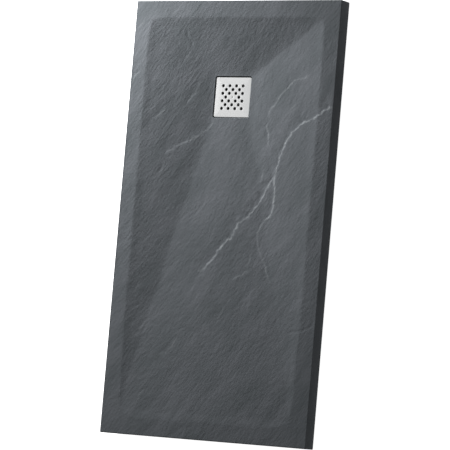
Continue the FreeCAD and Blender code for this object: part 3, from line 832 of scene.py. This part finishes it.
# Polypropylene has a waxy sheen, ABS a harder one, and rubber hardly any.
pale_grey_pp = moulded("pale_grey_polypropylene", "#9fa2a3", "#adb0b1", 0.42, 1.2)
dark_pp = moulded("dark_grey_polypropylene", "#2f3234", "#3a3d3f", 0.42, 1.2)
nut_pp = moulded("mid_grey_polypropylene", "#55595b", "#626668", 0.4, 1.2)
black_abs = moulded("black_abs", "#141516", "#1c1d1e", 0.33, 0.8)
rubber = moulded("black_epdm_rubber", "#1a1a1b", "#262627", 0.78, 0.6)
for node, material in (("flange_seal", rubber), ("body_seal", rubber), ("cone_seal", rubber),
                       ("trap_head", pale_grey_pp), ("outlet_socket", pale_grey_pp),
                       ("trap_insert", dark_pp)):
    finish_node(node, material)

# %% [markdown]
# Brass and turned steel are both metal with fine rings from the tool. The rings are far too fine
# to show, so a slight unevenness in the roughness stands for them.

# %% Brass and turned steel


def bare_metal(name, colour, low, high):
    """A small metal part as it comes off the machine: clean metal, a little uneven in gloss."""
    material, tree, shader = new_material(name)
    place = add(tree, "ShaderNodeTexCoord").outputs["Object"]
    marks = add(tree, "ShaderNodeTexNoise", {"Vector": place, "Scale": grain_scale(0.8),
                                             "Detail": 3.0})
    rough = add(tree, "ShaderNodeMapRange", {"Value": marks.outputs[0], "To Min": low,
                                             "To Max": high})
    tree.links.new(rough.outputs[0], shader.inputs["Roughness"])
    shader.inputs["Base Color"].default_value = linear(colour)
    shader.inputs["Metallic"].default_value = 1.0
    return material


screw_steel = bare_metal("cold_headed_stainless", "#b9b9b6", 0.22, 0.36)
finish_node("screw_inserts", bare_metal("turned_brass", "#c9a555", 0.25, 0.4))

# %% [markdown]
# ## The cover's feet
# Four rubber feet carry the cover on the floor of the well. Each is a block that narrows towards
# its toe. One is made and then copied to the other three corners.

# %% Rubber feet
FOOT_TOP = 28.0
FOOT_SIDE = 10.0
FOOT_REACH = 52.0  # from the cover's middle, each way
FOOT_HEIGHT = FOOT_TOP - WELL_FLOOR

feet = block_of((FOOT_SIDE, FOOT_SIDE, FOOT_HEIGHT), (0, 0, 0), top_share=0.8)
bmesh.ops.rotate(feet, cent=(0, 0, 0), matrix=Matrix.Rotation(math.pi, 3, "X"), verts=feet.verts)
round_edges(feet, 0.8)
middle = Vector((FOOT_REACH, FOOT_REACH, FOOT_TOP - FOOT_HEIGHT / 2))
bmesh.ops.translate(feet, vec=middle * MM, verts=feet.verts)
repeat_round(feet, (0, 90, 180, 270))
dress(placed(feet, "moulded_feet", TO_DRAIN), "cover_feet", "cover", rubber)

# %% [markdown]
# ## The clamp ring and its screws
# The clamp ring lies under the cover. Its throat goes down through the waste hole, and its flange
# presses a rubber ring on the floor of the well. The ring is turned, and the screw holes are
# drilled after that.

# %% Clamp ring
SCREW_CIRCLE = 42.0
SCREW_TURNS = (90, 210, 330)
SCREW_HOLE_RADIUS = 2.75
CLAMP_TOP = 24.5
CLAMP_SECTION = [(37, 5.3), (38.5, 5.3), (38.5, 21.5), (57, 21.5), (57, CLAMP_TOP),
                 (38.6, CLAMP_TOP), (37, 23.2)]

ring = placed(turned(CLAMP_SECTION, 0.5), "clamp_ring", TO_DRAIN)
drill = bmesh.new()
bmesh.ops.create_cone(drill, cap_ends=True, segments=32, radius1=SCREW_HOLE_RADIUS * MM,
                      radius2=SCREW_HOLE_RADIUS * MM, depth=12 * MM,
                      matrix=Matrix.Translation(Vector((SCREW_CIRCLE, 0, 23)) * MM))
repeat_round(drill, SCREW_TURNS)
combine(ring, [placed(drill, "screw_drill", TO_DRAIN)])
dress(ring, "clamp_flange", "tray", black_abs)

# %% [markdown]
# Three pan-head screws pull the trap up against the slab. A screw is turned like the rest, and the
# cross in its head is cut with two thin blocks that narrow downwards, as the bit does.

# %% Pan-head screws
SCREW_TOP = 27.0
SCREW_SECTION = [(0, -2.5), (2.1, -2.5), (2.5, -2.0), (2.5, CLAMP_TOP), (4.5, CLAMP_TOP),
                 (4.5, 25.5), (4.2, 26.2), (3.4, 26.7), (2.2, 26.95), (0, SCREW_TOP)]

screws = turned(SCREW_SECTION, 0.12, 40)
bmesh.ops.translate(screws, vec=(SCREW_CIRCLE * MM, 0, 0), verts=screws.verts)
repeat_round(screws, SCREW_TURNS)
screws = placed(screws, "pan_screws", TO_DRAIN)
recesses = []
for name, size in (("recess_across", (4.0, 0.9, 3.2)), ("recess_along", (0.9, 4.0, 3.2))):
    recess = block_of(size, (0, 0, 0))
    lower = [vertex for vertex in recess.verts if vertex.co.z < 0]
    bmesh.ops.scale(recess, vec=(0.6, 0.6, 1.0), verts=lower)
    bmesh.ops.translate(recess, vec=Vector((SCREW_CIRCLE, 0, SCREW_TOP)) * MM, verts=recess.verts)
    repeat_round(recess, SCREW_TURNS)
    recesses.append(placed(recess, name, TO_DRAIN))
combine(screws, recesses)
dress(screws, "flange_screws", "tray", screw_steel)

# %% [markdown]
# ## The strainer
# The hair strainer is a flat moulded disc with twelve slots and an upright tab to lift it by. The
# slots' ends are round, as a mould's cores are: a block whose four upright edges are bevelled by
# nearly half its width makes each core.

# %% Hair strainer
DISC_RADIUS = 36.4
DISC_FOOT, DISC_TOP = 7.5, 9.5
SLOT_WIDTH = 4.0
SLOT_FROM, SLOT_TO = 9.0, 25.3

disc = [(0, DISC_FOOT), (DISC_RADIUS, DISC_FOOT), (DISC_RADIUS, DISC_TOP), (0, DISC_TOP)]
strainer = placed(turned(disc, 0.5), "slotted_strainer", TO_DRAIN)
core = block_of((SLOT_TO - SLOT_FROM, SLOT_WIDTH, 8), ((SLOT_TO + SLOT_FROM) / 2, 0, 8.5))
round_off(core, [edge for edge in core.edges if is_upright(edge)], SLOT_WIDTH * 0.49, segments=6)
repeat_round(core, range(15, 375, 30))
combine(strainer, [placed(core, "slot_cores", TO_DRAIN)])
tab = block_of((14, 3, 16), (0, 0, 17), top_share=0.9)
round_edges(tab, 0.7)
combine(strainer, [placed(tab, "strainer_tab", TO_DRAIN)], "UNION")
dress(strainer, "hair_strainer", "strainer", dark_pp)

# %% [markdown]
# The dip tube is sealed by a rubber ring. The real one's section is round. A square one whose
# corners are cut back deeply comes close at this size, and it is turned like the rest.

# %% Rubber ring of the dip tube
o_ring = turned([(29.5, 1.6), (32.9, 1.6), (32.9, 5.0), (29.5, 5.0)], 1.2)
dress(placed(o_ring, "sealing_ring", TO_DRAIN), "insert_ring", "dip_tube", rubber)

# %% [markdown]
# ## The trap's bowl and the outlet's nut
# The bowl hangs under the slab and holds the water. Its foot is well rounded, so that nothing
# settles in a corner, and the way out is a round port whose lower part stays closed as a weir.

# %% Trap bowl
WEIR = -38.0
PORT_RADIUS = 19.25
BOWL_SECTION = [(0, -83), (46, -83), (49.5, -82.3), (52.2, -80), (53, -76.5), (53, 1), (50, 1),
                (50, -75), (49, -78.2), (46.5, -79.6), (44, -80), (0, -80)]

bowl = placed(turned(BOWL_SECTION, 0.4), "trap_bowl_moulding", TO_DRAIN)
port = bmesh.new()
bmesh.ops.create_cone(port, cap_ends=True, segments=64, radius1=PORT_RADIUS * MM,
                      radius2=PORT_RADIUS * MM, depth=60 * MM,
                      matrix=Matrix.Translation(Vector((0, 0, 50)) * MM))
bmesh.ops.transform(port, matrix=TO_OUTLET, verts=port.verts)
halved = bmesh.ops.bisect_plane(port, geom=[*port.verts, *port.edges, *port.faces],
                                clear_inner=True, plane_co=(0, 0, WEIR * MM), plane_no=(0, 0, 1))
rim = [item for item in halved["geom_cut"] if isinstance(item, bmesh.types.BMEdge)]
bmesh.ops.edgeloop_fill(port, edges=rim)
combine(bowl, [finish_mesh(port, "port_cutter")])
dress(bowl, "trap_bowl", "tray", pale_grey_pp)

# %% [markdown]
# The nut has twelve flats for the hand, moulded with soft corners. Its bore is wide over the
# socket and narrow at the mouth, where it presses the tapered rubber ring on the waste pipe.

# %% Outlet nut
NUT_FROM, NUT_TO = 67.0, 90.5
NUT_FLATS = 56.0
BORE_SECTION = [(0, 60), (23.8, 60), (23.8, 87), (20.5, 87), (20.5, 95), (0, 95)]

nut_bm = bmesh.new()
corner_radius = NUT_FLATS / 2 / math.cos(math.radians(15))
nut_middle = Matrix.Translation(Vector((0, 0, (NUT_TO + NUT_FROM) / 2)) * MM)
bmesh.ops.create_cone(nut_bm, cap_ends=True, segments=12, radius1=corner_radius * MM,
                      radius2=corner_radius * MM, depth=(NUT_TO - NUT_FROM) * MM,
                      matrix=nut_middle @ Matrix.Rotation(math.radians(15), 4, "Z"))
round_edges(nut_bm, 1.6, 20)
nut = placed(nut_bm, "hand_nut", TO_OUTLET)
combine(nut, [placed(turned(BORE_SECTION, 0.2), "nut_bore", TO_OUTLET)])
dress(nut, "outlet_nut", "tray", nut_pp)

# %% [markdown]
# ## Light and background
# A catalogue picture has a pure white ground and one main light. The floor adds white for the
# camera, for reflections and for what is seen through glass, and it still darkens where the part
# keeps the light off.

# %% Floor and world
FLOOR_GAP = 0.0005  # below the part's lowest point
part_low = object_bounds()[0]
floor_height = part_low.z - FLOOR_GAP


def seen_or_mirrored(tree):
    """1 for rays from the camera, from gloss and through glass, and 0 for the light itself."""
    path = add(tree, "ShaderNodeLightPath")
    either = add(tree, "ShaderNodeMath", {0: path.outputs["Is Camera Ray"],
                                          1: path.outputs["Is Glossy Ray"]}, operation="MAXIMUM")
    return add(tree, "ShaderNodeMath", {0: either.outputs[0],
                                        1: path.outputs["Is Transmission Ray"]},
               operation="MAXIMUM").outputs[0]


def studio_floor():
    """A pale floor under the part's lowest point."""
    bm = bmesh.new()
    bmesh.ops.create_grid(bm, x_segments=1, y_segments=1, size=15.0,
                          matrix=Matrix.Translation((0, 0, floor_height)))
    floor = as_object(bm, "studio_floor")
    material, tree = empty_material("pale_floor")
    matt = add(tree, "ShaderNodeBsdfDiffuse", {"Color": linear("#d8d8d8")})
    strength = add(tree, "ShaderNodeMath", {0: seen_or_mirrored(tree), 1: 0.97},
                   operation="MULTIPLY")
    glow = add(tree, "ShaderNodeEmission", {"Color": linear("#ffffff"),
                                            "Strength": strength.outputs[0]})
    both = add(tree, "ShaderNodeAddShader", {0: matt.outputs[0], 1: glow.outputs[0]})
    add(tree, "ShaderNodeOutputMaterial", {"Surface": both.outputs[0]})
    floor.data.materials.append(material)


def studio_world():
    """White where it is seen or mirrored, and a soft grey light otherwise."""
    world = bpy.data.worlds.new("studio_world")
    bpy.context.scene.world = world
    world.use_nodes = True
    tree = world.node_tree
    tree.nodes.clear()
    soft = add(tree, "ShaderNodeBackground", {"Color": linear("#ffffff"), "Strength": 0.23})
    white = add(tree, "ShaderNodeBackground", {"Color": linear("#ffffff"), "Strength": 1.0})
    mixed = add(tree, "ShaderNodeMixShader", {0: seen_or_mirrored(tree), 1: soft.outputs[0],
                                              2: white.outputs[0]})
    add(tree, "ShaderNodeOutputWorld", {"Surface": mixed.outputs[0]})


studio_floor()
studio_world()
print("floor at", round(floor_height / MM, 1), "mm")

# %% [markdown]
# The main light is low, over the far left corner of the tray, because light that grazes the stone
# is what shows its relief. Gloss doesn't see it, or it would glare in the slab from far off. The
# steel cover gets a bright card instead, and a flag keeps the low light off the two sides that
# face it.

# %% Lamp, card and flag
LAMP_PLACE = (-1.4, 1.2, 0.25)
LAMP_AIM = (0.05, 0.0, 0.03)
LAMP_SIZE = (0.35, 0.1)
LAMP_POWER = 225.0
CARD_PLACE = (-2.0, 0.95, 1.1)
CARD_SIDE = 1.7
CARD_STRENGTH = 2.6
FLAG_GAP = 0.02  # from the slab's sides
FLAG_TOP = 0.0488
FLAG_OVERHANG = 0.4  # past the slab's ends


def facing(place, aim):
    """The turn that makes an object at a place face a point."""
    return (Vector(aim) - Vector(place)).to_track_quat("-Z", "Y")


def low_lamp():
    """A wide, flat lamp."""
    data = bpy.data.lights.new("window", "AREA")
    data.shape = "RECTANGLE"
    data.size, data.size_y = LAMP_SIZE
    data.energy = LAMP_POWER
    lamp = bpy.data.objects.new("window", data)
    lamp.location = LAMP_PLACE
    lamp.rotation_euler = facing(LAMP_PLACE, LAMP_AIM).to_euler()
    lamp.visible_glossy = False
    bpy.context.scene.collection.objects.link(lamp)


def hide_from(staged, *kinds):
    """Hides a staged object from some kinds of ray."""
    for kind in kinds:
        setattr(staged, "visible_" + kind, False)


def bright_card():
    """A large bright card that only gloss sees. The steel cover mirrors it."""
    bm = bmesh.new()
    turn = facing(CARD_PLACE, DRAIN).to_matrix().to_4x4()
    bmesh.ops.create_grid(bm, x_segments=1, y_segments=1, size=CARD_SIDE / 2,
                          matrix=Matrix.Translation(CARD_PLACE) @ turn)
    card = as_object(bm, "bright_card")
    material, tree = empty_material("bright_card")
    glow = add(tree, "ShaderNodeEmission", {"Color": linear("#ffffff"),
                                            "Strength": CARD_STRENGTH})
    add(tree, "ShaderNodeOutputMaterial", {"Surface": glow.outputs[0]})
    card.data.materials.append(material)
    hide_from(card, "camera", "diffuse", "transmission", "shadow")


def light_flag():
    """An upright L that shades the two sides that face the lamp. Nothing sees it."""
    bm = bmesh.new()
    left, back = slab_low.x - FLAG_GAP, slab_high.y + FLAG_GAP
    route = [(left, slab_low.y - FLAG_OVERHANG), (left, back), (slab_high.x + FLAG_OVERHANG, back)]
    posts = [bm.verts.new((x, y, part_low.z)) for x, y in route]
    edges = [bm.edges.new(pair) for pair in zip(posts, posts[1:])]
    lifted = bmesh.ops.extrude_edge_only(bm, edges=edges)["geom"]
    raised = [item for item in lifted if isinstance(item, bmesh.types.BMVert)]
    bmesh.ops.translate(bm, vec=(0, 0, FLAG_TOP - part_low.z), verts=raised)
    flag = as_object(bm, "light_flag")
    hide_from(flag, "camera", "diffuse", "glossy", "transmission")


low_lamp()
bright_card()
light_flag()
print("the lamp is", round(Vector(LAMP_PLACE).length, 2), "m from the tray's middle")
